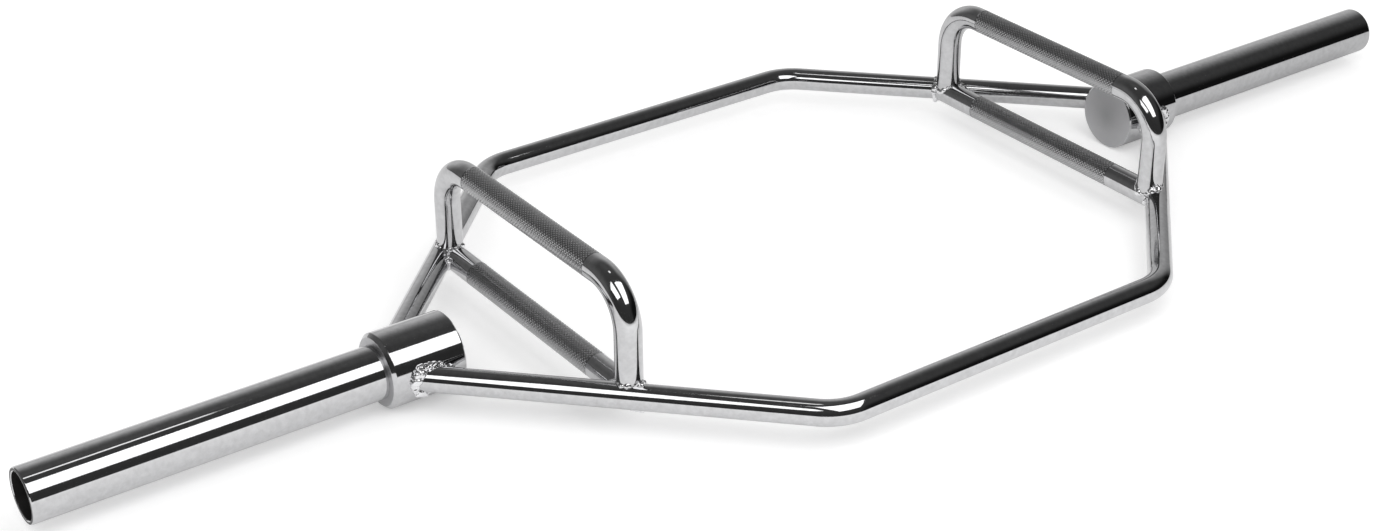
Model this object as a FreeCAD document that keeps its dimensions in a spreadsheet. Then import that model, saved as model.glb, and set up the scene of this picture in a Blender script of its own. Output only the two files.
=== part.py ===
import FreeCAD, Part
import math
import os
import Sketcher

# A hex trap bar: a welded steel frame that the lifter stands inside, with a low and a raised
# handle on each side and a hollow sleeve at each end for weight plates.
# +X runs along the sleeves to the right, +Y to the rear and +Z up. The hubs stand on Z = 0.

# Driving sizes in millimetres
SIZES = {
    "hub_gap": 812,              # clear length between the two hubs
    "hub_length": 72,
    "hub_diameter": 70,
    "hub_inner_bevel": 1.5,
    "hub_outer_bevel": 3.5,
    "sleeve_length": 322,
    "sleeve_diameter": 50,
    "sleeve_wall": 4,
    "sleeve_bevel": 1,
    "spigot_length": 30,         # turned end of the hub that the sleeve is pushed over
    "spigot_clearance": 0.05,    # all round the spigot
    "frame_bar_diameter": 24,
    "frame_width": 580,          # front run to rear run, between centrelines
    "frame_straight": 380,       # length of each run, corner to corner of its centreline
    "frame_bend_radius": 50,
    "frame_drop": 2.5,           # frame's centre plane below the sleeves' axis
    "handle_diameter": 25,
    "handle_spacing": 628,       # left handles to right handles
    "handle_rise": 100,          # raised grip above the frame's centre plane
    "handle_bend_radius": 42,
    "leg_inset": 12,             # leg's axis inside the slanted bar's, along the low handle
    "foot_lift": 4,              # lowest point of a leg above the frame's centre plane
    "mitre_setback": 6,          # blunt tips of a low handle's end, from the slanted bar's axis
    "weld_width": 4,             # how far a bead spreads out along each of the pieces it joins
}

# Shares of another size
SHARES = {
    "bar_end_share": 0.4,        # of the hub's radius: where a frame bar ends inside the hub
    "cope_reach_share": 2,       # of the hub's length: length of the round that copes the bars
    "headroom_share": 4,         # of the handle's diameter: size of the block above a bead
}

# Sizes that follow from those above
FORMULAS = {
    "hub_radius": "hub_diameter / 2",
    "bar_radius": "frame_bar_diameter / 2",
    "grip_radius": "handle_diameter / 2",
    "frame_height": "hub_radius - frame_drop",
    "hub_inner": "hub_gap / 2",
    "hub_middle": "hub_inner + hub_length / 2",
    "hub_outer": "hub_inner + hub_length",
    "sleeve_bore": "sleeve_diameter - 2 * sleeve_wall",
    "spigot_diameter": "sleeve_bore - 2 * spigot_clearance",
    "corner_x": "frame_straight / 2",
    "corner_y": "frame_width / 2",
    "slant_slope": "(hub_middle - corner_x) / (corner_y - hub_radius)",
    "slant_lean": "atan(slant_slope)",
    "bar_end_y": "hub_radius * bar_end_share",
    "bar_end_x": "hub_middle + (hub_radius - bar_end_y) * slant_slope",
    "handle_x": "handle_spacing / 2",
    "joint_y": "hub_radius + (hub_middle - handle_x) / slant_slope",
    "leg_y": "joint_y - leg_inset",
    "mitre_y": "joint_y - mitre_setback / sin(slant_lean)",
    "mitre_change": "handle_diameter / slant_slope",
    "slant_length": "(corner_y - bar_end_y) / cos(slant_lean)",
}

SIDES = {"left": -1, "right": 1}
ENDS = {"front": -1, "rear": 1}
INBOARD, OUTBOARD = SIDES.values()
QUARTER_TURN = 90
HALF_TURN = 180

# A sketch's own numbers for its points and axes
START, END, CENTRE = range(1, 4)
ORIGIN = (-1, START)
UPRIGHT_AXIS_INDEX = -2

doc = FreeCAD.newDocument("hex_trap_bar")
sheet = doc.addObject("Spreadsheet::Sheet", "Sizes")


def fill_sheet():
    """Write every size, share and formula into the sheet under its own name."""
    rows = {name: str(value) for name, value in {**SIZES, **SHARES}.items()}
    rows.update({name: "=" + formula for name, formula in FORMULAS.items()})
    for row, (name, text) in enumerate(rows.items(), start=1):
        sheet.set(f"A{row}", name)
        sheet.set(f"B{row}", text)
        sheet.setAlias(f"B{row}", name)
    doc.recompute()


def bind(thing, **formulas):
    """Tie properties of a feature to the sheet."""
    for name, formula in formulas.items():
        thing.setExpression(name, formula)


def turned(axis, angle):
    return f"rotation(vector({'; '.join(map(str, axis))}); {angle})"


def place(thing, x, y, z, turn=None):
    """Tie a feature's place and turn to the sheet."""
    turn = turn or turned((0, 0, 1), 0)
    thing.setExpression("Placement", f"placement(vector({x}; {y}; {z}); {turn})")


def side_turn(sign):
    """Turn that faces a piece modelled towards +X, or +Y, to the other side of the bar."""
    return turned((0, 0, 1), 0 if sign > 0 else HALF_TURN)


def new_body(name):
    body = doc.addObject("PartDesign::Body", name)
    doc.recompute()
    return body


def plane_sketch(body, name, role):
    """Start a sketch on one of the body's own origin planes."""
    planes = {feature.Role: feature for feature in body.Origin.OriginFeatures}
    sketch = body.newObject("Sketcher::SketchObject", name)
    sketch.AttachmentSupport = [(planes[role], "")]
    sketch.MapMode = "FlatFace"
    return sketch


def dimension(sketch, name, formula, kind, *where):
    """Add a named dimension to a sketch, tied to the sheet."""
    index = sketch.addConstraint(Sketcher.Constraint(kind, *where))
    sketch.renameConstraint(index, name)
    sketch.setExpression("Constraints." + name, formula)


def add_circle(sketch, diameter):
    """Draw a circle about the sketch's origin."""
    width = float(sheet.get(diameter))
    circle = Part.Circle(FreeCAD.Vector(), FreeCAD.Vector(0, 0, 1), width / 2)
    index = sketch.addGeometry(circle, False)
    sketch.addConstraint(Sketcher.Constraint("Coincident", index, CENTRE, *ORIGIN))
    dimension(sketch, diameter, f"Sizes.{diameter}", "Diameter", index, width)


def add_pad(body, name, diameters, length, start=None):
    """Pad a round or a ring along the body's X axis."""
    sketch = plane_sketch(body, name + "_outline", "YZ_Plane")
    if start:
        bind(sketch, **{"AttachmentOffset.Base.z": f"Sizes.{start}"})
    for diameter in diameters:
        add_circle(sketch, diameter)
    pad = body.newObject("PartDesign::Pad", name)
    pad.Profile = sketch
    bind(pad, Length=f"Sizes.{length}")
    doc.recompute()
    return pad


def rim_edges(shape, way):
    """Names of the edges round the flat end of a piece that looks this way along X."""
    rims = []
    for face in shape.Faces:
        if isinstance(face.Surface, Part.Plane) and round(face.normalAt(0, 0).x) == way:
            rims += face.Edges
    numbered = enumerate(shape.Edges, start=1)
    return [f"Edge{number}" for number, edge in numbered if any(map(edge.isSame, rims))]


def bevel(body, name, base, size, way):
    """Break the rims of one end of a round piece."""
    chamfer = body.newObject("PartDesign::Chamfer", name)
    chamfer.Base = (base, rim_edges(base.Shape, way))
    bind(chamfer, Size=f"Sizes.{size}")
    doc.recompute()
    return chamfer


def bent_path(sketch, end, corner, radius):
    """Draw one run between two legs, joined by bends, the same on both sides of the sketch."""
    end_x, end_y = (float(sheet.get(name)) for name in end)
    corner_x, corner_y = (float(sheet.get(name)) for name in corner)
    bend = float(sheet.get(radius))
    turn = math.atan2(corner_y - end_y, end_x - corner_x)
    tangent = bend * math.tan(turn / 2)
    run_x = corner_x - tangent
    leg_x = corner_x + tangent * math.cos(turn)
    leg_y = corner_y - tangent * math.sin(turn)
    upright = math.pi / 2

    def point(x, y):
        return FreeCAD.Vector(x, y, 0)

    def arc(x, first, last):
        circle = Part.Circle(point(x, corner_y - bend), FreeCAD.Vector(0, 0, 1), bend)
        return Part.ArcOfCircle(circle, first, last)

    first_leg, first_bend, run, last_bend, last_leg = sketch.addGeometry([
        Part.LineSegment(point(-end_x, end_y), point(-leg_x, leg_y)),
        arc(-run_x, upright, upright + turn),
        Part.LineSegment(point(-run_x, corner_y), point(run_x, corner_y)),
        arc(run_x, upright - turn, upright),
        Part.LineSegment(point(leg_x, leg_y), point(end_x, end_y)),
    ], False)
    first_corner, last_corner = sketch.addGeometry(
        [Part.Point(point(-corner_x, corner_y)), Part.Point(point(corner_x, corner_y))], True)
    sketch.addConstraint([
        Sketcher.Constraint("Tangent", first_leg, END, first_bend, END),
        Sketcher.Constraint("Tangent", first_bend, START, run, START),
        Sketcher.Constraint("Tangent", run, END, last_bend, END),
        Sketcher.Constraint("Tangent", last_bend, START, last_leg, START),
        Sketcher.Constraint("Equal", first_bend, last_bend),
        Sketcher.Constraint("PointOnObject", first_corner, START, first_leg),
        Sketcher.Constraint("PointOnObject", first_corner, START, run),
        Sketcher.Constraint("PointOnObject", last_corner, START, run),
        Sketcher.Constraint("PointOnObject", last_corner, START, last_leg),
        Sketcher.Constraint("Symmetric", first_corner, START, last_corner, START, UPRIGHT_AXIS_INDEX),
        Sketcher.Constraint("Symmetric", first_leg, START, last_leg, END, UPRIGHT_AXIS_INDEX),
    ])
    dimension(sketch, "bend_radius", f"Sizes.{radius}", "Radius", first_bend, bend)
    for name, spot, (along, up), where in (
            ("corner", corner, (corner_x, corner_y), (last_corner, START)),
            ("end", end, (end_x, end_y), (last_leg, END))):
        dimension(sketch, name + "_x", f"Sizes.{spot[0]}", "DistanceX", *ORIGIN, *where, along)
        dimension(sketch, name + "_y", f"Sizes.{spot[1]}", "DistanceY", *ORIGIN, *where, up)


def bent_bar(name, role, end, corner, radius, diameter):
    """Sweep a round bar along a bent path."""
    body = new_body(name)
    path = plane_sketch(body, name + "_path", role)
    bent_path(path, end, corner, radius)
    doc.recompute()
    section = body.newObject("Sketcher::SketchObject", name + "_section")
    section.AttachmentSupport = [(path, "Edge1")]
    section.MapMode = "NormalToEdge"
    add_circle(section, diameter)
    doc.recompute()
    sweep = body.newObject("PartDesign::AdditivePipe", name + "_sweep")
    sweep.Profile = section
    sweep.Spine = (path, [f"Edge{number}" for number in range(1, len(path.Shape.Edges) + 1)])
    return body


def shared(name, base, tool):
    """The space that two rounds or blocks have in common."""
    common = doc.addObject("Part::Common", name)
    common.Base = base
    common.Tool = tool
    return common


def trimmed(name, stock, cutters):
    """Cut a piece back from each of the pieces it meets, so that it fits against them."""
    result = stock
    for number, cutter in enumerate(cutters, start=1):
        cut = doc.addObject("Part::Cut", f"{name}_trim_{number}")
        cut.Base = result
        cut.Tool = cutter
        result = cut
    result.Label = name
    doc.recompute()
    return result


def make_hub(side, sign):
    """Solid round hub with a spigot on its outboard face for the sleeve."""
    name = f"{side}_hub"
    body = new_body(name)
    place(body, f"{sign} * Sizes.hub_inner", 0, "Sizes.hub_radius", side_turn(sign))
    barrel = add_pad(body, name + "_barrel", ["hub_diameter"], "hub_length")
    rounded = bevel(body, name + "_inner_bevel", barrel, "hub_inner_bevel", INBOARD)
    bevel(body, name + "_outer_bevel", rounded, "hub_outer_bevel", OUTBOARD)
    spigot = add_pad(body, name + "_spigot", ["spigot_diameter"], "spigot_length", "hub_length")
    body.Tip = spigot
    return body


def make_sleeve(side, sign):
    """Open tube for the weight plates, pushed over the hub's spigot and up to its face."""
    name = f"{side}_sleeve"
    body = new_body(name)
    place(body, f"{sign} * Sizes.hub_outer", 0, "Sizes.hub_radius", side_turn(sign))
    tube = add_pad(body, name + "_tube", ["sleeve_diameter", "sleeve_bore"], "sleeve_length")
    bevel(body, name + "_bevel", tube, "sleeve_bevel", OUTBOARD)
    return body


def make_hub_round(name, sign, radius):
    """Round about a hub, longer than it, that shapes the ends of the bars and their beads."""
    hub_round = doc.addObject("Part::Cylinder", name)
    bind(hub_round, Radius=radius, Height="Sizes.hub_length * Sizes.cope_reach_share")
    outward = turned((0, 1, 0), sign * QUARTER_TURN)
    place(hub_round, f"{sign} * Sizes.hub_inner", 0, "Sizes.hub_radius", outward)
    return hub_round


def make_frame_bar(end, sign, copes):
    """Front or rear bar: a straight run and two slanted legs, coped to both hubs."""
    name = f"{end}_frame_bar"
    spots = ("bar_end_x", "bar_end_y"), ("corner_x", "corner_y")
    stock = bent_bar(name + "_stock", "XY_Plane", *spots, "frame_bend_radius", "frame_bar_diameter")
    place(stock, 0, 0, "Sizes.frame_height", side_turn(sign))
    return trimmed(name, stock, copes)


def make_mitre(side, sign):
    """Block whose slanted ends trim what runs along a low handle, inside the frame bars."""
    mitre = doc.addObject("Part::Wedge", f"{side}_mitre")
    outboard = "Sizes.mitre_y - Sizes.mitre_change"
    inboard = "Sizes.mitre_y + Sizes.mitre_change"
    bind(mitre, Xmin=f"-1 * ({outboard})", Xmax=outboard, X2min=f"-1 * ({inboard})", X2max=inboard)
    bind(mitre, Ymin="-1 * Sizes.handle_diameter", Ymax="Sizes.handle_diameter")
    bind(mitre, Zmin="-1 * Sizes.handle_diameter", Zmax="Sizes.handle_diameter")
    bind(mitre, Z2min="-1 * Sizes.handle_diameter", Z2max="Sizes.handle_diameter")
    inwards = turned((0, 0, 1), sign * QUARTER_TURN)
    place(mitre, f"{sign} * Sizes.handle_x", 0, "Sizes.frame_height", inwards)
    return mitre


def make_rod(name, sign, radius):
    """Round along a low handle's axis, long enough to reach through both frame bars."""
    rod = doc.addObject("Part::Cylinder", name)
    bind(rod, Radius=radius, Height="2 * (Sizes.joint_y + Sizes.mitre_change)")
    start = "-1 * (Sizes.joint_y + Sizes.mitre_change)"
    rearward = turned((1, 0, 0), -QUARTER_TURN)
    place(rod, f"{sign} * Sizes.handle_x", start, "Sizes.frame_height", rearward)
    return rod


def make_low_handle(side, sign, mitre, frame_bars):
    """Straight grip between the slanted bars, mitred and coped to fit them."""
    name = f"{side}_low_handle"
    rod = make_rod(name + "_rod", sign, "Sizes.grip_radius")
    return trimmed(name, shared(name + "_grip", rod, mitre), frame_bars)


def make_raised_handle(side, sign, neighbours):
    """Grip on two legs that stand where the low handle meets the slanted bars."""
    name = f"{side}_raised_handle"
    spots = ("leg_y", "foot_lift"), ("leg_y", "handle_rise")
    stock = bent_bar(name + "_stock", "YZ_Plane", *spots, "handle_bend_radius", "handle_diameter")
    place(stock, f"{sign} * Sizes.handle_x", 0, "Sizes.frame_height")
    return trimmed(name, stock, neighbours)


def make_slant_sheath(side, end):
    """Round about a slanted bar, as thick as the beads on it."""
    along, across = SIDES[side], ENDS[end]
    sheath = doc.addObject("Part::Cylinder", f"{side}_{end}_slant_sheath")
    bind(sheath, Radius="Sizes.bar_radius + Sizes.weld_width", Height="Sizes.slant_length")
    lean = turned((0, 0, 1), f"{along * across} * Sizes.slant_lean")
    outward = turned((1, 0, 0), -across * QUARTER_TURN)
    spot = f"{along} * Sizes.bar_end_x", f"{across} * Sizes.bar_end_y"
    place(sheath, *spot, "Sizes.frame_height", f"{lean} * {outward}")
    return sheath


def make_leg_sheath(side, end):
    """Round about a raised handle's leg, as thick as the bead at its foot."""
    sheath = doc.addObject("Part::Cylinder", f"{side}_{end}_leg_sheath")
    bind(sheath, Radius="Sizes.grip_radius + Sizes.weld_width", Height="Sizes.handle_rise")
    spot = f"{SIDES[side]} * Sizes.handle_x", f"{ENDS[end]} * Sizes.leg_y"
    place(sheath, *spot, "Sizes.frame_height + Sizes.foot_lift")
    return sheath


def make_headroom(side, end):
    """Block above a leg's lowest point, which keeps the bead below it clear of the leg's own."""
    room = doc.addObject("Part::Box", f"{side}_{end}_headroom")
    extent = "Sizes.handle_diameter * Sizes.headroom_share"
    bind(room, Length=extent, Width=extent, Height=extent)
    x = f"{SIDES[side]} * Sizes.handle_x - {extent} / 2"
    y = f"{ENDS[end]} * Sizes.leg_y - {extent} / 2"
    place(room, x, y, "Sizes.frame_height + Sizes.foot_lift")
    return room


def make_handle_welds(side, end, mitre, grip_sheath, slant_sheath, bar, low, raised):
    """Bead under a low handle's end and bead round the leg that stands on it."""
    grip = f"{side}_{end}_grip_weld"
    corner = shared(grip + "_corner", grip_sheath, slant_sheath)
    bead = shared(grip + "_bead", corner, mitre)
    grip_weld = trimmed(grip, bead, [make_headroom(side, end), bar, low])
    leg = f"{side}_{end}_leg_weld"
    bed = doc.addObject("Part::Fuse", leg + "_bed")
    bed.Base = slant_sheath
    bed.Tool = grip_sheath
    foot = shared(leg + "_foot", make_leg_sheath(side, end), bed)
    return [grip_weld, trimmed(leg, foot, [bar, low, raised])]


def make_parts():
    """Build every piece, each trimmed against the ones it is welded to."""
    hubs = [make_hub(side, sign) for side, sign in SIDES.items()]
    sleeves = [make_sleeve(side, sign) for side, sign in SIDES.items()]
    copes = {side: make_hub_round(f"{side}_cope", sign, "Sizes.hub_radius")
             for side, sign in SIDES.items()}
    bars = {end: make_frame_bar(end, sign, copes.values()) for end, sign in ENDS.items()}
    parts = hubs + sleeves + list(bars.values())
    for side, sign in SIDES.items():
        mitre = make_mitre(side, sign)
        low = make_low_handle(side, sign, mitre, bars.values())
        raised = make_raised_handle(side, sign, [*bars.values(), low])
        parts += [low, raised]
        spread = "Sizes.hub_radius + Sizes.weld_width"
        hub_sheath = make_hub_round(f"{side}_hub_sheath", sign, spread)
        spread = "Sizes.grip_radius + Sizes.weld_width"
        grip_sheath = make_rod(f"{side}_grip_sheath", sign, spread)
        for end, bar in bars.items():
            slant_sheath = make_slant_sheath(side, end)
            name = f"{side}_{end}_hub_weld"
            bead = shared(name + "_bead", hub_sheath, slant_sheath)
            parts.append(trimmed(name, bead, [copes[side], bar]))
            parts += make_handle_welds(side, end, mitre, grip_sheath, slant_sheath, bar, low, raised)
    doc.recompute()
    return parts


def check(parts):
    """Stop before anything is written if a feature failed or a piece is not a sound solid."""
    for thing in doc.Objects:
        if {"Invalid", "Error"} & set(thing.State):
            raise RuntimeError(f"{thing.Label} failed: {thing.State}")
    for part in parts:
        if part.Shape.isNull() or not part.Shape.isValid() or not part.Shape.Solids:
            raise RuntimeError(f"{part.Label} is not a sound solid")


fill_sheet()
pieces = make_parts()
check(pieces)
os.makedirs("parts", exist_ok=True)
for piece in pieces:
    piece.Shape.exportStep(f"parts/{piece.Label}.step")
    print(piece.Label, len(piece.Shape.Solids), round(piece.Shape.Volume))
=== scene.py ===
# %% [markdown]
# # A chromed hex trap bar
#
# The bar is a welded steel frame: two bent bars form a hexagon between two round hubs, a sleeve
# for the weights leaves each hub, and on each side a straight low handle and a raised handle lie
# one above the other. All of it is plated after welding, so the whole lesson is about clean round
# shapes and about what a mirror finish has to reflect.
#
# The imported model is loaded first. It is the fixed frame: every piece below is placed by it.

# %% Load the frame
import math

import bmesh
import bpy
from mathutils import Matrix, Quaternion, Vector


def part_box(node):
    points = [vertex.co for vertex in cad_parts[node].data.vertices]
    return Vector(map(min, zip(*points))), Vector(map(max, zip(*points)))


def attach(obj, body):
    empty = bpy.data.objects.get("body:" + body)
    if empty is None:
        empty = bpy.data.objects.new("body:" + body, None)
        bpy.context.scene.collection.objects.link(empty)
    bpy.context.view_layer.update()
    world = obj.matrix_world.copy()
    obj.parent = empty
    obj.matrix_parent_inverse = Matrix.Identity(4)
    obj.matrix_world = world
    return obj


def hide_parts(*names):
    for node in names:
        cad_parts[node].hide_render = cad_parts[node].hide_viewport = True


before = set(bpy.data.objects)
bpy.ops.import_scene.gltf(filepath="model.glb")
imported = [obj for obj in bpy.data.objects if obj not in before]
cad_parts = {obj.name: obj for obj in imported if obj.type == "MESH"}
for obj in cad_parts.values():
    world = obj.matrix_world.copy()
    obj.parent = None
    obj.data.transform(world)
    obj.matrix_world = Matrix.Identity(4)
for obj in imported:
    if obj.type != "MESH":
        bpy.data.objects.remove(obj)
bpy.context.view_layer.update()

SIDES = {"left": -1, "right": 1}
ENDS = {"front": -1, "rear": 1}

# %% [markdown]
# ## Sizes
#
# The pieces that replace a plain solid repeat its sizes, in metres. What can be read from the
# solids' boxes is read there, and the rest are the few lengths that a maker would have on a
# drawing: bend radii, where the bars cross and where the legs stand.

# %% Sizes read from the frame
def mm(value):
    return value / 1000


SLEEVE_LOW, SLEEVE_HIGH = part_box("right_sleeve")
HUB_LOW, HUB_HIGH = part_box("right_hub")
GRIP_LOW, GRIP_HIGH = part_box("right_raised_handle")
BAR_LOW, BAR_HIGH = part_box("rear_frame_bar")
AXIS_Z = (SLEEVE_LOW.z + SLEEVE_HIGH.z) / 2
SLEEVE_RADIUS = (SLEEVE_HIGH.z - SLEEVE_LOW.z) / 2
SLEEVE_END_X = SLEEVE_HIGH.x
HUB_RADIUS = (HUB_HIGH.z - HUB_LOW.z) / 2
HUB_IN_X, HUB_OUT_X = HUB_LOW.x, SLEEVE_LOW.x
HANDLE_X = (GRIP_LOW.x + GRIP_HIGH.x) / 2
HANDLE_RADIUS = (GRIP_HIGH.x - GRIP_LOW.x) / 2
RAISED_Z = GRIP_HIGH.z - HANDLE_RADIUS
BAR_RADIUS = (BAR_HIGH.z - BAR_LOW.z) / 2
BAR_Z = (BAR_HIGH.z + BAR_LOW.z) / 2
BAR_Y = BAR_HIGH.y - BAR_RADIUS
print(f"radii: sleeve {SLEEVE_RADIUS:.4f}, hub {HUB_RADIUS:.4f}, handle {HANDLE_RADIUS:.4f}")
print(f"frame bar: radius {BAR_RADIUS:.4f}, at z {BAR_Z:.4f} and y {BAR_Y:.4f}")

# %% Sizes from the drawing
CORNER_X = mm(190)
BAR_BEND = mm(50)
HANDLE_BEND = mm(42)
LEG_INSET = mm(12)
FOOT_LIFT = mm(4)
HUB_MIDDLE_X = (HUB_IN_X + HUB_OUT_X) / 2
SLANT = Vector((HUB_MIDDLE_X - CORNER_X, HUB_RADIUS - BAR_Y)).normalized()
JOINT_Y = BAR_Y + SLANT.y / SLANT.x * (HANDLE_X - CORNER_X)
LEG_Y = JOINT_Y - LEG_INSET
FOOT_Z = BAR_Z + FOOT_LIFT
print(f"slant {SLANT.x:.3f}, {SLANT.y:.3f}; handles meet it at y {JOINT_Y:.4f}, legs at {LEG_Y:.4f}")

# %% [markdown]
# ## Node helpers
#
# Both the finishes and the shape trees are node graphs. A few small helpers keep them readable: one
# adds a node and fills its sockets, by name or by number, with values or with links, and the others
# are short names for sums, vector sums, noise and carrying a value from one range to another.

# %% Node helpers
def fill(tree, socket, value):
    if isinstance(value, bpy.types.NodeSocket):
        tree.links.new(value, socket)
    else:
        socket.default_value = value


def add_node(tree, kind, inputs=None, **settings):
    node = tree.nodes.new(kind)
    for name, value in settings.items():
        setattr(node, name, value)
    for key, value in (inputs or {}).items():
        if isinstance(key, int):
            socket = node.inputs[key]
        else:
            socket = next(s for s in node.inputs if s.enabled and s.name == key)
        fill(tree, socket, value)
    return node


def out(node, name=None):
    return next(s for s in node.outputs if s.enabled and name in (None, s.name))


def calculate(tree, operation, *values):
    return out(add_node(tree, "ShaderNodeMath", dict(enumerate(values)), operation=operation))


def vector(tree, operation, *values, **named):
    inputs = {**dict(enumerate(values)), **named}
    return out(add_node(tree, "ShaderNodeVectorMath", inputs, operation=operation))


def noise(tree, **values):
    return out(add_node(tree, "ShaderNodeTexNoise", values), "Fac")


def carry(tree, value, span=(0.0, 1.0), to=(0.0, 1.0), curve="LINEAR"):
    """The value carried over from one range to another, and held at its ends."""
    ends = {"From Min": span[0], "From Max": span[1], "To Min": to[0], "To Max": to[1]}
    return out(add_node(tree, "ShaderNodeMapRange", {"Value": value, **ends}, interpolation_type=curve))


# %% [markdown]
# ## Finishes
#
# The finishes on the bar are built much alike: a colour between two shades, a roughness between two
# ends and mostly a weak bump, each driven by a pattern. The pattern reads the place on the piece
# itself, so it stays where it is when the piece is moved.

# %% Finish helpers
PLATING_BLUE = 1.015


def grey(shade, blue=PLATING_BLUE):
    return (shade, shade, shade * blue, 1.0)


def colour_ramp(tree, value, dark, light, stops=(0.0, 1.0)):
    ramp = add_node(tree, "ShaderNodeValToRGB", {"Fac": value})
    for stop, position, colour in zip(ramp.color_ramp.elements, stops, (dark, light)):
        stop.position = position
        stop.color = colour
    return out(ramp, "Color")


def bump(tree, height, depth, strength=1.0):
    values = {"Strength": strength, "Distance": depth, "Height": height}
    return out(add_node(tree, "ShaderNodeBump", values))


def new_material(name):
    """A material, its node tree, and the place on the piece that its patterns read."""
    material = bpy.data.materials.new(name)
    material.use_nodes = True
    tree = material.node_tree
    return material, tree, out(add_node(tree, "ShaderNodeTexCoord"), "Object")


def dress(material, **sockets):
    surface = material.node_tree.nodes["Principled BSDF"]
    for label, value in sockets.items():
        fill(material.node_tree, surface.inputs[label.replace("_", " ")], value)
    print("finish", material.name, len(material.node_tree.nodes), "nodes")
    return material


# %% [markdown]
# ## Chrome
#
# Plated steel is a mirror with small faults: the tube under the plating isn't perfectly even, so
# reflections waver, and polishing leaves faint haze. The colour and the roughness each get a noise of
# their own, and a very weak bump makes the straight reflections waver as they do on the real tubes.
# The welds are plated too, but over a rough skin, so theirs is a duller finish, and its paler colour is a
# painted sheen.

# %% Plated finishes
def chrome(name, dark, light, smooth, hazy, waver, waver_scale):
    """A plated finish: colours and roughness between two ends, and the height of its waver."""
    material, tree, place = new_material(name)
    cloud = noise(tree, Vector=place, Scale=170.0, Detail=5.0, Roughness=0.6)
    haze = noise(tree, Vector=place, Scale=45.0, Detail=6.0, Roughness=0.65)
    ripple = noise(tree, Vector=place, Scale=waver_scale, Detail=2.0)
    return dress(
        material,
        Metallic=1.0,
        Base_Color=colour_ramp(tree, cloud, grey(dark), grey(light), stops=(0.32, 0.68)),
        Roughness=carry(tree, haze, span=(0.35, 0.75), to=(smooth, hazy)),
        Normal=bump(tree, ripple, waver),
    )


POLISH = {"dark": 0.56, "light": 0.66, "smooth": 0.04, "hazy": 0.10}
# The beads' paler colour is a painted sheen, so that they flash brighter.
ROUGH_PLATING_PAINTED_SHEEN = {"dark": 0.84, "light": 0.96, "smooth": 0.16, "hazy": 0.34}
BAR_CHROME = chrome("bar_chrome", **POLISH, waver=mm(0.05), waver_scale=30.0)
SLEEVE_CHROME = chrome("sleeve_chrome", **POLISH, waver=mm(0.03), waver_scale=18.0)
HUB_CHROME = chrome("hub_chrome", **POLISH, waver=mm(0.03), waver_scale=18.0)
HANDLE_CHROME = chrome("handle_chrome", **POLISH, waver=mm(0.05), waver_scale=35.0)
WELD_CHROME = chrome("weld_chrome", **ROUGH_PLATING_PAINTED_SHEEN, waver=mm(0.03), waver_scale=300.0)

# %% [markdown]
# ## Round bars that follow a path
#
# The frame bars, the low handles and the raised ones are one thing three ways: a round bar, straight
# or bent at corners. A shape tree takes the corner points as a line, rounds the corners to the bend
# radius, spaces rings evenly along the line and sweeps a circle along it. The bar size and the bend
# are inputs, so one tree serves all.

# %% Shape tree: bent round bar
BEND_STEPS = 24


def shape_tree(name, **inputs):
    """A new shape tree with named inputs, and the sockets that give them."""
    tree = bpy.data.node_groups.new(name, "GeometryNodeTree")
    tree.interface.new_socket("Geometry", in_out="INPUT", socket_type="NodeSocketGeometry")
    for label, kind in inputs.items():
        label = label.replace("_", " ")
        tree.interface.new_socket(label, in_out="INPUT", socket_type="NodeSocket" + kind)
    tree.interface.new_socket("Geometry", in_out="OUTPUT", socket_type="NodeSocketGeometry")
    return tree, tree.nodes.new("NodeGroupInput").outputs


def finish_tree(tree, shape, material):
    real = add_node(tree, "GeometryNodeRealizeInstances", {"Geometry": shape})
    painted = add_node(tree, "GeometryNodeSetMaterial", {"Geometry": out(real), "Material": material})
    add_node(tree, "NodeGroupOutput", {"Geometry": out(painted)})
    print("tree", tree.name, len(tree.nodes), "nodes")


BENT_BAR, given = shape_tree(
    "Bent round bar",
    Bar_Radius="Float",
    Bend_Radius="Float",
    Ring_Spacing="Float",
    Sides="Int",
    Finish="Material",
)
line = add_node(BENT_BAR, "GeometryNodeMeshToCurve", {"Mesh": given["Geometry"]})
corners = {"Count": BEND_STEPS, "Radius": given["Bend Radius"], "Limit Radius": True}
bent = add_node(BENT_BAR, "GeometryNodeFilletCurve", {"Curve": out(line), **corners}, mode="POLY")
spacing = {"Curve": out(bent), "Length": given["Ring Spacing"]}
spaced = add_node(BENT_BAR, "GeometryNodeResampleCurve", spacing, mode="LENGTH")
section = {"Resolution": given["Sides"], "Radius": given["Bar Radius"]}
ring = add_node(BENT_BAR, "GeometryNodeCurvePrimitiveCircle", section)
sweep = {"Curve": out(spaced), "Profile Curve": out(ring), "Fill Caps": True}
swept = add_node(BENT_BAR, "GeometryNodeCurveToMesh", sweep)
finish_tree(BENT_BAR, out(swept), given["Finish"])

# %% [markdown]
# ## From a tree to a piece
#
# A tree is run on a spare object, and its result is kept as a plain mesh, so that several results can
# be joined into one piece. A piece is one or more such meshes in one object. It rides on the bar
# and can stand for the plain solids that it replaces.

# %% Running a shape tree
def line_mesh(points, closed=False):
    mesh = bpy.data.meshes.new("line")
    count = len(points)
    steps = range(count if closed else count - 1)
    mesh.from_pydata(points, [(i, (i + 1) % count) for i in steps], [])
    return mesh


def grown(tree, mesh, **inputs):
    """The plain mesh that a shape tree makes, run on a spare object that holds the given mesh."""
    bench = bpy.data.objects.new("bench", mesh)
    bpy.context.scene.collection.objects.link(bench)
    modifier = bench.modifiers.new(tree.name, "NODES")
    modifier.node_group = tree
    for label, value in inputs.items():
        modifier[tree.interface.items_tree[label.replace("_", " ")].identifier] = value
    evaluated = bench.evaluated_get(bpy.context.evaluated_depsgraph_get())
    result = bpy.data.meshes.new_from_object(evaluated)
    bpy.data.objects.remove(bench)
    bpy.data.meshes.remove(mesh)
    return result


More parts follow.
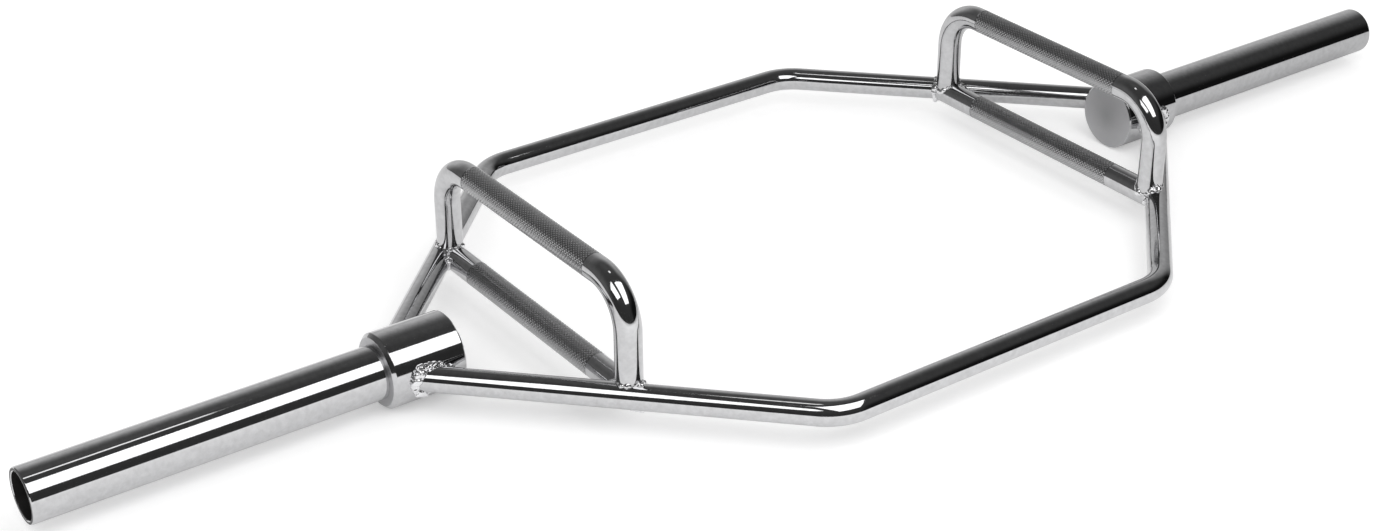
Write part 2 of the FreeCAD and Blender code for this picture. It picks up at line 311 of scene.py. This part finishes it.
# %% Turning meshes into pieces
def joined(name, meshes):
    """One mesh from several closed ones, with their finishes and with faces that point outwards."""
    shape = bmesh.new()
    finishes = []
    for mesh in meshes:
        first = len(shape.faces)
        shape.from_mesh(mesh)
        shape.faces.ensure_lookup_table()
        for face in shape.faces[first:]:
            material = mesh.materials[face.material_index]
            if material not in finishes:
                finishes.append(material)
            face.material_index = finishes.index(material)
    bmesh.ops.recalc_face_normals(shape, faces=shape.faces)
    result = bpy.data.meshes.new(name)
    shape.to_mesh(result)
    shape.free()
    for material in finishes:
        result.materials.append(material)
    return result


def piece(name, meshes, slot, *nodes, sharp=40):
    """An object that rides on the bar and stands for those nodes. Edges past the angle stay sharp."""
    mesh = joined(name, meshes)
    if sharp:
        mesh.shade_smooth()
        mesh.set_sharp_from_angle(angle=math.radians(sharp))
    made = bpy.data.objects.new(name, mesh)
    bpy.context.scene.collection.objects.link(made)
    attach(made, "root")
    if nodes:
        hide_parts(*nodes)
    print(name, len(mesh.vertices), "points", len(mesh.polygons), "faces")
    return made


# %% [markdown]
# ## Frame bars
#
# Each frame bar leaves a hub, runs out on a slant, bends into the straight front or rear run and
# comes back to the other hub. Its line has only four points: the two ends, hidden in the hubs, and
# the two corners.

# %% Frame bars
BAR_SIDES = 64
BAR_END_SHARE = 0.55
BAR_END_Y = HUB_RADIUS * BAR_END_SHARE
BAR_END_X = CORNER_X + SLANT.x / SLANT.y * (BAR_END_Y - BAR_Y)
FRAME_BAR = {"Bar_Radius": BAR_RADIUS, "Bend_Radius": BAR_BEND, "Ring_Spacing": mm(3)}

for end, way in ENDS.items():
    left_end, right_end = [(side * BAR_END_X, way * BAR_END_Y, BAR_Z) for side in SIDES.values()]
    bends = [(side * CORNER_X, way * BAR_Y, BAR_Z) for side in SIDES.values()]
    route = line_mesh([left_end, *bends, right_end])
    bar = grown(BENT_BAR, route, **FRAME_BAR, Sides=BAR_SIDES, Finish=BAR_CHROME)
    piece(f"{end}_frame_tube", [bar], "frame_chrome", f"{end}_frame_bar")

# %% [markdown]
# ## Turned faces and the bore
#
# The hub's two faces were left as cut before plating, and have a satin, turned look: fine rings round
# the axis. Their colour is a little lighter toward the rim, as a painted sheen. The sleeve's cut end is
# made the same way but much darker. The bore of the sleeve isn't plated: it is bare steel, and its
# near-black colour is painted shade for the inside of the tube.

# %% Satin turned faces and bare bore
FACE_BLUE = 1.02
RIM_SHEEN_SHARE, CLOUD_SHARE = 0.7, 0.3


def satin_face(name, dark, light):
    material, tree, place = new_material(name)
    mapping = {"Vector": place, "Location": (0.0, 0.0, -AXIS_Z)}
    centred = out(add_node(tree, "ShaderNodeMapping", mapping))
    turning = {"Vector": centred, "Scale": 380.0, "Distortion": 0.6, "Detail": 2.0}
    rings = add_node(tree, "ShaderNodeTexWave", turning, wave_type="RINGS", rings_direction="X")
    cloud = noise(tree, Vector=place, Scale=60.0, Detail=5.0)
    from_axis = vector(tree, "LENGTH", vector(tree, "MULTIPLY", centred, (0.0, 1.0, 1.0)))
    # The colour lightens toward the rim: a painted sheen.
    painted_rim_sheen = carry(tree, from_axis, span=(0.0, HUB_RADIUS), to=(0.0, RIM_SHEEN_SHARE))
    shade = calculate(tree, "MULTIPLY_ADD", cloud, CLOUD_SHARE, painted_rim_sheen)
    return dress(
        material,
        Metallic=1.0,
        Base_Color=colour_ramp(tree, shade, grey(dark, FACE_BLUE), grey(light, FACE_BLUE)),
        Roughness=carry(tree, cloud, to=(0.36, 0.52)),
        Normal=bump(tree, out(rings, "Fac"), mm(0.04), strength=0.5),
    )


def bare_bore_with_painted_shade():
    material, tree, place = new_material("sleeve_bore_steel_painted_shade")
    cloud = noise(tree, Vector=place, Scale=90.0, Detail=6.0)
    # Bare steel, painted near black: painted shade for the inside of the tube.
    dark, light = (0.006, 0.006, 0.006, 1.0), (0.030, 0.028, 0.026, 1.0)
    return dress(
        material,
        Metallic=0.4,
        Base_Color=colour_ramp(tree, cloud, dark, light),
        Roughness=carry(tree, cloud, to=(0.55, 0.8)),
        Normal=bump(tree, cloud, mm(0.1), strength=0.4),
    )


HUB_FACE = satin_face("hub_turned_face", dark=0.34, light=0.64)
CUT_END = satin_face("sleeve_cut_end", dark=0.06, light=0.12)
BORE_STEEL_AND_SHADE = bare_bore_with_painted_shade()

# %% [markdown]
# ## Hubs and sleeves
#
# Both are turned on a lathe, so each is a profile carried round the axis. The profile's points are
# distance along the axis and radius, each with the finish of the band up to the next point. The hub
# has a broad flat bevel on its outer edge and a small one on its inner edge. A bevel modifier then
# softens the edges a little, so that they catch a thin line of light, as the plated edges do.

# %% Turning
LATHE_SIDES = 144
SOFT_STEPS = 3
SOFT_ANGLE = math.radians(25)


def ring_of(x, radius):
    """The points of one profile point carried round the axis, or a single one on the axis."""
    steps = LATHE_SIDES if radius > 0 else 1
    angles = [2 * math.pi * step / LATHE_SIDES for step in range(steps)]
    return [(x, radius * math.cos(angle), AXIS_Z + radius * math.sin(angle)) for angle in angles]


def turned(name, side, profile, closed=False):
    """A mesh turned about the sleeves' axis, from points of x, radius and finish."""
    points, rings = [], []
    for x, radius, _ in profile:
        ring = ring_of(side * x, radius)
        rings.append(range(len(points), len(points) + len(ring)))
        points += ring
    finishes = list(dict.fromkeys(finish for _, _, finish in profile))
    faces, painted = [], []
    for here in range(len(profile) if closed else len(profile) - 1):
        near, far = rings[here], rings[(here + 1) % len(profile)]
        for step in range(LATHE_SIDES):
            first = [near[(step + turn) % len(near)] for turn in ((0, 1) if len(near) > 1 else (0,))]
            second = [far[(step + turn) % len(far)] for turn in ((1, 0) if len(far) > 1 else (0,))]
            faces.append(first + second)
            painted.append(finishes.index(profile[here][2]))
    mesh = bpy.data.meshes.new(name)
    mesh.from_pydata(points, [], faces)
    mesh.polygons.foreach_set("material_index", painted)
    for finish in finishes:
        mesh.materials.append(finish)
    return mesh


def soften(target, width):
    bevel = target.modifiers.new("softened edges", "BEVEL")
    bevel.width = width
    bevel.segments = SOFT_STEPS
    bevel.limit_method = "ANGLE"
    bevel.angle_limit = SOFT_ANGLE
    bevel.harden_normals = True


# %% Hubs and sleeves
HUB_IN_BEVEL, HUB_OUT_BEVEL = mm(1.5), mm(3.5)
SLEEVE_WALL, SLEEVE_BEVEL, BORE_BEVEL = mm(4), mm(1), mm(0.8)
SPIGOT_LENGTH, SPIGOT_GAP = mm(30), mm(0.05)
HUB_SOFT, SLEEVE_SOFT = mm(0.4), mm(0.3)
TURNED_SHARP = 30
BORE_RADIUS = SLEEVE_RADIUS - SLEEVE_WALL
SPIGOT_END_X = HUB_OUT_X + SPIGOT_LENGTH
SPIGOT_RADIUS = BORE_RADIUS - SPIGOT_GAP
HUB_PROFILE = [
    (HUB_IN_X, 0.0, HUB_FACE),
    (HUB_IN_X, HUB_RADIUS - HUB_IN_BEVEL, HUB_CHROME),
    (HUB_IN_X + HUB_IN_BEVEL, HUB_RADIUS, HUB_CHROME),
    (HUB_OUT_X - HUB_OUT_BEVEL, HUB_RADIUS, HUB_CHROME),
    (HUB_OUT_X, HUB_RADIUS - HUB_OUT_BEVEL, HUB_FACE),
    (HUB_OUT_X, SPIGOT_RADIUS, BORE_STEEL_AND_SHADE),
    (SPIGOT_END_X, SPIGOT_RADIUS, BORE_STEEL_AND_SHADE),
    (SPIGOT_END_X, 0.0, BORE_STEEL_AND_SHADE),
]
SLEEVE_PROFILE = [
    (HUB_OUT_X, SLEEVE_RADIUS, SLEEVE_CHROME),
    (SLEEVE_END_X - SLEEVE_BEVEL, SLEEVE_RADIUS, SLEEVE_CHROME),
    (SLEEVE_END_X, SLEEVE_RADIUS - SLEEVE_BEVEL, CUT_END),
    (SLEEVE_END_X, BORE_RADIUS + BORE_BEVEL, SLEEVE_CHROME),
    (SLEEVE_END_X - BORE_BEVEL, BORE_RADIUS, BORE_STEEL_AND_SHADE),
    (HUB_OUT_X, BORE_RADIUS, SLEEVE_CHROME),
]
for name, side in SIDES.items():
    barrel = turned("hub", side, HUB_PROFILE)
    hub = piece(f"{name}_hub_turned", [barrel], "hub_chrome", f"{name}_hub", sharp=TURNED_SHARP)
    soften(hub, HUB_SOFT)
    tube = turned("sleeve", side, SLEEVE_PROFILE, closed=True)
    sleeve = piece(f"{name}_sleeve_tube", [tube], "sleeve_chrome", f"{name}_sleeve", sharp=TURNED_SHARP)
    soften(sleeve, SLEEVE_SOFT)

# %% [markdown]
# ## Knurled grips
#
# The grips are rolled between two cross-cut wheels, which leaves rows of small pyramids with
# grooves between them. A picture of a knurl would look flat from the side, so the pyramids are real:
# a cylinder of fine rings has every second point raised, like the squares of a draughts board, and
# each square is split along the shorter diagonal, between its low corners, which leaves a groove
# there. How high each point stands is kept as an attribute, so the finish can paint the grooves
# darker, as painted shade.

# %% Shape tree: knurled grip
HALF = 0.5

KNURL, given = shape_tree(
    "Knurled grip",
    Groove_Radius="Float",
    Tooth_Height="Float",
    Length="Float",
    Points_Around="Int",
    Rows="Int",
    Place="Vector",
    Finish="Material",
)
around, rows = given["Points Around"], given["Rows"]
extent = {"Radius": given["Groove Radius"], "Depth": given["Length"]}
counts = {"Vertices": around, "Side Segments": rows}
blank = add_node(KNURL, "GeometryNodeMeshCylinder", {**counts, **extent}, fill_type="NGON")
number = out(add_node(KNURL, "GeometryNodeInputIndex"))
row = calculate(KNURL, "DIVIDE", calculate(KNURL, "ADD", number, HALF), around)
row = calculate(KNURL, "FLOOR", row)
high = calculate(KNURL, "MODULO", calculate(KNURL, "ADD", number, row), 2.0)
past_first = calculate(KNURL, "GREATER_THAN", row, HALF)
before_last = calculate(KNURL, "LESS_THAN", row, calculate(KNURL, "SUBTRACT", rows, HALF))
tooth = calculate(KNURL, "MULTIPLY", high, calculate(KNURL, "MULTIPLY", past_first, before_last))
flat = vector(KNURL, "MULTIPLY", out(add_node(KNURL, "GeometryNodeInputPosition")), (1.0, 1.0, 0.0))
rise = calculate(KNURL, "MULTIPLY", tooth, given["Tooth Height"])
lift = vector(KNURL, "SCALE", vector(KNURL, "NORMALIZE", flat), Scale=rise)
raised = add_node(KNURL, "GeometryNodeSetPosition", {"Geometry": out(blank, "Mesh"), "Offset": lift})
mark = {"Geometry": out(raised), "Name": "tooth", "Value": tooth}
marked = add_node(KNURL, "GeometryNodeStoreNamedAttribute", mark, data_type="FLOAT", domain="POINT")
split = add_node(KNURL, "GeometryNodeTriangulate", {"Mesh": out(marked)}, quad_method="SHORTEST_DIAGONAL")
move = {"Rotation": (math.radians(90), 0.0, 0.0), "Translation": given["Place"]}
laid = add_node(KNURL, "GeometryNodeTransform", {"Geometry": out(split), **move})
finish_tree(KNURL, out(laid), given["Finish"])

# %% [markdown]
# The grooves are painted darker than the crests, as painted shade: the colour goes by the height that
# the tree has stored, with some noise where the knurl is worn unevenly. The pitch comes from the texture
# in the photograph: 24 teeth round the grip, and one about every 4 mm along it.

# %% Knurl finish
def knurl_chrome():
    material, tree, place = new_material("knurl_chrome")
    height = out(add_node(tree, "ShaderNodeAttribute", attribute_name="tooth"), "Fac")
    cloud = noise(tree, Vector=place, Scale=120.0, Detail=4.0)
    # Darker in the grooves as painted shade, with noise where the knurl is worn unevenly.
    groove_shade_and_wear = calculate(tree, "MULTIPLY", height, calculate(tree, "ADD", cloud, HALF))
    groove, crest = (0.30, 0.30, 0.305, 1.0), (0.70, 0.70, 0.71, 1.0)
    return dress(
        material,
        Metallic=1.0,
        Base_Color=colour_ramp(tree, groove_shade_and_wear, groove, crest),
        Roughness=carry(tree, cloud, to=(0.20, 0.32)),
    )


KNURL_CHROME = knurl_chrome()
GRIP_HALF = mm(102)
GROOVE_DEPTH = mm(0.25)
POINTS_AROUND, TOOTH_ROWS = 48, 104
KNURL_SIZES = {
    "Groove_Radius": HANDLE_RADIUS - GROOVE_DEPTH,
    "Tooth_Height": mm(0.30),
    "Length": 2 * GRIP_HALF,
    "Points_Around": POINTS_AROUND,
    "Rows": TOOTH_ROWS,
}
print("knurl", POINTS_AROUND // 2, "teeth a row,", TOOTH_ROWS, "rows")

# %% [markdown]
# ## Handles
#
# A low handle is a straight bar between the two slants. A raised handle has two legs, which stand on
# the low handle's ends, and a knurled grip above. Both use the bent-bar tree for their plain ends and
# the knurl tree for the middle.

# %% Handles
LOW_SETBACK = mm(4)
LOW_END_Y = JOINT_Y - LOW_SETBACK
HANDLE_BAR = {"Bar_Radius": HANDLE_RADIUS, "Bend_Radius": HANDLE_BEND, "Ring_Spacing": mm(2)}


def plain_end(x, way, level, z):
    """From the grip to the slanted bar, straight or down a leg."""
    grip_end = (x, way * GRIP_HALF, z)
    if level == "low":
        route = [grip_end, (x, way * LOW_END_Y, z)]
    else:
        route = [grip_end, (x, way * LEG_Y, z), (x, way * LEG_Y, FOOT_Z)]
    return grown(BENT_BAR, line_mesh(route), **HANDLE_BAR, Sides=BAR_SIDES, Finish=HANDLE_CHROME)


for name, side in SIDES.items():
    x = side * HANDLE_X
    for level, z in (("low", BAR_Z), ("raised", RAISED_Z)):
        plain = [plain_end(x, way, level, z) for way in ENDS.values()]
        piece(f"{name}_{level}_handle_ends", plain, "grip_chrome", f"{name}_{level}_handle")
        spare = bpy.data.meshes.new("spare")
        knurl = grown(KNURL, spare, **KNURL_SIZES, Place=(x, 0.0, z), Finish=KNURL_CHROME)
        piece(f"{name}_{level}_handle_knurl", [knurl], "grip_chrome", sharp=0)

# %% [markdown]
# ## Weld beads
#
# A hand-laid bead is a row of overlapping drops, uneven in size and place, and the plating makes
# every bump flash. The tree spaces points along the joint line, moves each a little and gives it its
# own size, all from a fixed seed, and lets the bead's width wander along the joint. Then it melts the
# drops together into one closed skin, lets that flow a little and dents it.

# %% Shape tree: weld bead
SIZE_SEED_STEP = 7.0
DROP_SHARES = (0.8, 1.1)
WIDTH_SHARES = (0.55, 1.2)
FLOW_STEPS = 6
DENT_SHARE = 0.6
SKIN_LEVEL = 0.1

WELD, given = shape_tree(
    "Weld bead",
    Drop_Radius="Float",
    Drop_Spacing="Float",
    Uneven="Float",
    Grain="Float",
    Seed="Int",
    Finish="Material",
)
drop_radius, seed = given["Drop Radius"], given["Seed"]
line = add_node(WELD, "GeometryNodeMeshToCurve", {"Mesh": given["Geometry"]})
spacing = {"Curve": out(line), "Length": given["Drop Spacing"]}
drops = add_node(WELD, "GeometryNodeCurveToPoints", spacing, mode="LENGTH")
cube = {"Min": (-1.0, -1.0, -1.0), "Max": (1.0, 1.0, 1.0), "Seed": seed}
stray = out(add_node(WELD, "FunctionNodeRandomValue", cube, data_type="FLOAT_VECTOR"))
shift = vector(WELD, "SCALE", stray, Scale=calculate(WELD, "MULTIPLY", given["Uneven"], drop_radius))
strayed = add_node(WELD, "GeometryNodeSetPosition", {"Geometry": out(drops, "Points"), "Offset": shift})
other_seed = calculate(WELD, "ADD", seed, SIZE_SEED_STEP)
shares = {"Min": DROP_SHARES[0], "Max": DROP_SHARES[1], "Seed": other_seed}
share = out(add_node(WELD, "FunctionNodeRandomValue", shares, data_type="FLOAT"))
width = carry(WELD, noise(WELD, Scale=90.0, Detail=1.0), span=(0.35, 0.65), to=WIDTH_SHARES)
size = calculate(WELD, "MULTIPLY", calculate(WELD, "MULTIPLY", share, width), drop_radius)
volume = {"Points": out(strayed), "Density": 1.0, "Voxel Size": given["Grain"], "Radius": size}
melt = add_node(WELD, "GeometryNodePointsToVolume", volume, resolution_mode="VOXEL_SIZE")
shell = {"Volume": out(melt), "Threshold": SKIN_LEVEL, "Adaptivity": 0.0}
skin = add_node(WELD, "GeometryNodeVolumeToMesh", shell, resolution_mode="GRID")
places = {"Value": out(add_node(WELD, "GeometryNodeInputPosition")), "Iterations": FLOW_STEPS}
flow = add_node(WELD, "GeometryNodeBlurAttribute", places, data_type="FLOAT_VECTOR")
softened = add_node(WELD, "GeometryNodeSetPosition", {"Geometry": out(skin), "Position": out(flow)})
dents = calculate(WELD, "SUBTRACT", noise(WELD, Scale=190.0, Detail=1.0), HALF)
depth = calculate(WELD, "MULTIPLY", dents, calculate(WELD, "MULTIPLY", drop_radius, DENT_SHARE))
push = vector(WELD, "SCALE", out(add_node(WELD, "GeometryNodeInputNormal")), Scale=depth)
dented = add_node(WELD, "GeometryNodeSetPosition", {"Geometry": out(softened), "Offset": push})
finish_tree(WELD, out(dented), given["Finish"])

# %% [markdown]
# The joint lines come from the shapes that meet: round the slant where it enters the hub, round the
# low handle where it enters the slant, and round the leg where it stands on the two. A leg's bead is
# drawn in a little, because the real ones hardly stand out past the tubes.

# %% Joint lines
JOINT_STEPS = 72
ACROSS = Vector((-SLANT.y, SLANT.x))
BEAD_SINK = mm(1.2)


def round_angles():
    return [2 * math.pi * step / JOINT_STEPS for step in range(JOINT_STEPS)]


def hub_joint():
    points = []
    for angle in round_angles():
        rise = BAR_RADIUS * math.sin(angle)
        y = math.sqrt(HUB_RADIUS**2 - (BAR_Z + rise - AXIS_Z) ** 2)
        along = (y - BAR_Y - BAR_RADIUS * math.cos(angle) * ACROSS.y) / SLANT.y
        x = CORNER_X + SLANT.x * along + BAR_RADIUS * math.cos(angle) * ACROSS.x
        points.append((x, y, BAR_Z + rise))
    return points


def grip_joint():
    points = []
    for angle in round_angles():
        rise = HANDLE_RADIUS * math.sin(angle)
        away = math.sqrt(max(0.0, BAR_RADIUS**2 - rise**2))
        x = HANDLE_X + HANDLE_RADIUS * math.cos(angle)
        y = (BAR_Y * ACROSS.y - (x - CORNER_X) * ACROSS.x - away) / ACROSS.y
        points.append((x, y, BAR_Z + rise))
    return points


def leg_joint():
    points = []
    for angle in round_angles():
        x = HANDLE_X + (HANDLE_RADIUS - BEAD_SINK) * math.cos(angle)
        y = LEG_Y + (HANDLE_RADIUS - BEAD_SINK) * math.sin(angle)
        off = (x - CORNER_X) * ACROSS.x + (y - BAR_Y) * ACROSS.y
        on_handle = HANDLE_RADIUS * abs(math.sin(angle))
        on_slant = math.sqrt(max(0.0, BAR_RADIUS**2 - off**2))
        points.append((x, y, max(BAR_Z + max(on_handle, on_slant), FOOT_Z)))
    return points


print("joint lines of", JOINT_STEPS, "points")

# %% Weld beads
BEAD_SHARP = 180
SEED_STEP = 11
BEAD = {"Drop_Spacing": mm(1.2), "Uneven": 0.30, "Grain": mm(0.4), "Finish": WELD_CHROME}
JOINTS = {"hub": (hub_joint, mm(4.8)), "grip": (grip_joint, mm(3.0)), "leg": (leg_joint, mm(3.0))}
bead_seed = 0
for name, side in SIDES.items():
    for end, way in ENDS.items():
        for joint, (points, drop) in JOINTS.items():
            bead_seed += SEED_STEP
            route = line_mesh([(side * x, way * y, z) for x, y, z in points()], closed=True)
            bead = grown(WELD, route, **BEAD, Drop_Radius=drop, Seed=bead_seed)
            weld = f"{name}_{end}_{joint}"
            piece(f"{weld}_bead", [bead], "weld_chrome", f"{weld}_weld", sharp=BEAD_SHARP)

# %% [markdown]
# ## Studio
#
# Chrome has no colour of its own: it shows the room. So the room is drawn for the mirror alone. It is
# nearly black low down and in front, a little lighter overhead, and has a pale wall behind that fades
# upwards and towards both sides. The floor takes its light from an even dome instead, and the lens
# sees plain white. Light Path tells the three kinds of ray apart.

# %% World
WHITE = (1.0, 1.0, 1.0, 1.0)
DOME_LIGHT, LENS_WHITE = 0.75, 1.0


def fade(tree, value, span, to):
    return carry(tree, value, span, to, curve="SMOOTHSTEP")


world = bpy.data.worlds.new("studio")
bpy.context.scene.world = world
world.use_nodes = True
tree = world.node_tree
tree.nodes.clear()
toward = out(add_node(tree, "ShaderNodeTexCoord"), "Generated")
right, back, up = add_node(tree, "ShaderNodeSeparateXYZ", {0: toward}).outputs
wall = fade(tree, up, span=(0.25, 0.85), to=(0.55, 0.03))
behind = fade(tree, back, span=(-0.10, 0.35), to=(0.0, 1.0))
to_left = fade(tree, right, span=(-0.5, 0.15), to=(0.15, 1.0))
to_right = fade(tree, right, span=(0.7, 0.95), to=(1.0, 0.55))
low = fade(tree, right, span=(0.3, 0.6), to=(0.04, 0.008))
ceiling = fade(tree, up, span=(0.25, 0.65), to=(low, 0.055))
sides = calculate(tree, "MULTIPLY", to_left, to_right)
wall_share = calculate(tree, "MULTIPLY", behind, sides)
room = calculate(tree, "MULTIPLY_ADD", wall, wall_share, ceiling)
rays = add_node(tree, "ShaderNodeLightPath")
dark_room, dome, lens = [
    out(add_node(tree, "ShaderNodeBackground", {"Color": WHITE, "Strength": strength}))
    for strength in (room, DOME_LIGHT, LENS_WHITE)
]
lit = add_node(tree, "ShaderNodeMixShader", {0: out(rays, "Is Diffuse Ray"), 1: dark_room, 2: dome})
seen = add_node(tree, "ShaderNodeMixShader", {0: out(rays, "Is Camera Ray"), 1: out(lit), 2: lens})
add_node(tree, "ShaderNodeOutputWorld", {"Surface": out(seen)})
print("world", len(tree.nodes), "nodes")

# %% [markdown]
# ## Soft panels
#
# A photographer hangs large soft panels over chrome, because each one draws a clean white band along
# every tube. Two hang at one height, beyond the left end and in front, with a gap between them: they
# draw the white bands on the sleeve, the hub and the near slant, and the paired highlights on the
# bends. A narrow one hangs twice as high over the rear bar, for thinner highlights. The lens doesn't
# see the panels.

# %% Soft panels
PANEL_Z, NARROW_Z = 1.227, 2.5


def panel(name, place, width, depth, brightness):
    """A soft panel facing down, by its middle, its size and how bright its face is."""
    lamp = bpy.data.lights.new(name, "AREA")
    lamp.shape = "RECTANGLE"
    lamp.size, lamp.size_y = width, depth
    lamp.energy = brightness * math.pi * width * depth
    hung = bpy.data.objects.new(name, lamp)
    hung.location = place
    hung.visible_camera = False
    bpy.context.scene.collection.objects.link(hung)
    print(name, width, "x", depth, "m,", round(lamp.energy, 2), "W")


panel("left_panel", (-1.465, -0.675, PANEL_Z), width=1.17, depth=0.85, brightness=2.0)
panel("right_panel", (0.015, -1.10, PANEL_Z), width=1.07, depth=1.40, brightness=2.0)
panel("narrow_panel", (-0.05, 0.24, NARROW_Z), width=0.42, depth=0.20, brightness=1.4)

# %% [markdown]
# ## Floor
#
# The bar lies on white paper, which shows only its soft shadows. The panels make a pool of light on
# it that the photograph doesn't have. So the paper glows for the lens, less inside the pool and more
# away from it, to even it out. Mirrored in the chrome it glows faintly, except toward the right end.

# %% Floor
FLOOR_HALF = 6.0
FLOOR_Z = -mm(0.5)
POOL = (-0.35, -1.0, 0.0)
PAPER = (0.8, 0.8, 0.8, 1.0)
mesh = bpy.data.meshes.new("floor")
square = [(-1, -1), (1, -1), (1, 1), (-1, 1)]
mesh.from_pydata([(x * FLOOR_HALF, y * FLOOR_HALF, FLOOR_Z) for x, y in square], [], [(0, 1, 2, 3)])
floor = bpy.data.objects.new("floor", mesh)
bpy.context.scene.collection.objects.link(floor)
paper, tree, spot = new_material("floor_paper")
rays = add_node(tree, "ShaderNodeLightPath")
for_lens = fade(tree, vector(tree, "DISTANCE", spot, POOL), span=(0.0, 2.3), to=(0.18, 0.5))
across = add_node(tree, "ShaderNodeSeparateXYZ", {0: spot}).outputs["X"]
for_chrome = fade(tree, across, span=(0.2, 0.6), to=(0.15, 0.0))
in_chrome = calculate(tree, "MULTIPLY", out(rays, "Is Glossy Ray"), for_chrome)
strength = calculate(tree, "MULTIPLY_ADD", out(rays, "Is Camera Ray"), for_lens, in_chrome)
glow = add_node(tree, "ShaderNodeEmission", {"Color": WHITE, "Strength": strength})
matt = add_node(tree, "ShaderNodeBsdfDiffuse", {"Color": PAPER})
both = add_node(tree, "ShaderNodeAddShader", {0: out(glow), 1: out(matt)})
tree.nodes.remove(tree.nodes["Principled BSDF"])
tree.links.new(out(both), tree.nodes["Material Output"].inputs["Surface"])
mesh.materials.append(paper)
print("floor", 2 * FLOOR_HALF, "m square")

# %% [markdown]
# ## Camera
#
# The camera stands to the left of the bar and above it, where the photograph was taken from: its
# place, the point it looks at, a slight roll and the lens come from lining up the bar's own edges.
# The lens has no shift, because letting its middle move hardly improved the match.

# %% Camera
CAMERA_PLACE = Vector((-1.2289, -1.5408, 1.0746))
CAMERA_AIM = Vector((-0.1451, -0.0053, 0.0350))
CAMERA_ROLL = Quaternion((0.0, 0.0, 1.0), math.radians(-0.479))
SENSOR_WIDTH, LENS = 36.0, 59.257
camera = bpy.data.objects.new("camera", bpy.data.cameras.new("camera"))
bpy.context.scene.collection.objects.link(camera)
camera.data.sensor_width = SENSOR_WIDTH
camera.data.lens = LENS
camera.location = CAMERA_PLACE
camera.rotation_mode = "QUATERNION"
camera.rotation_quaternion = (CAMERA_AIM - CAMERA_PLACE).to_track_quat("-Z", "Y") @ CAMERA_ROLL
bpy.context.scene.camera = camera
bpy.context.scene.view_settings.view_transform = "Standard"
print("camera at", tuple(round(v, 3) for v in CAMERA_PLACE))
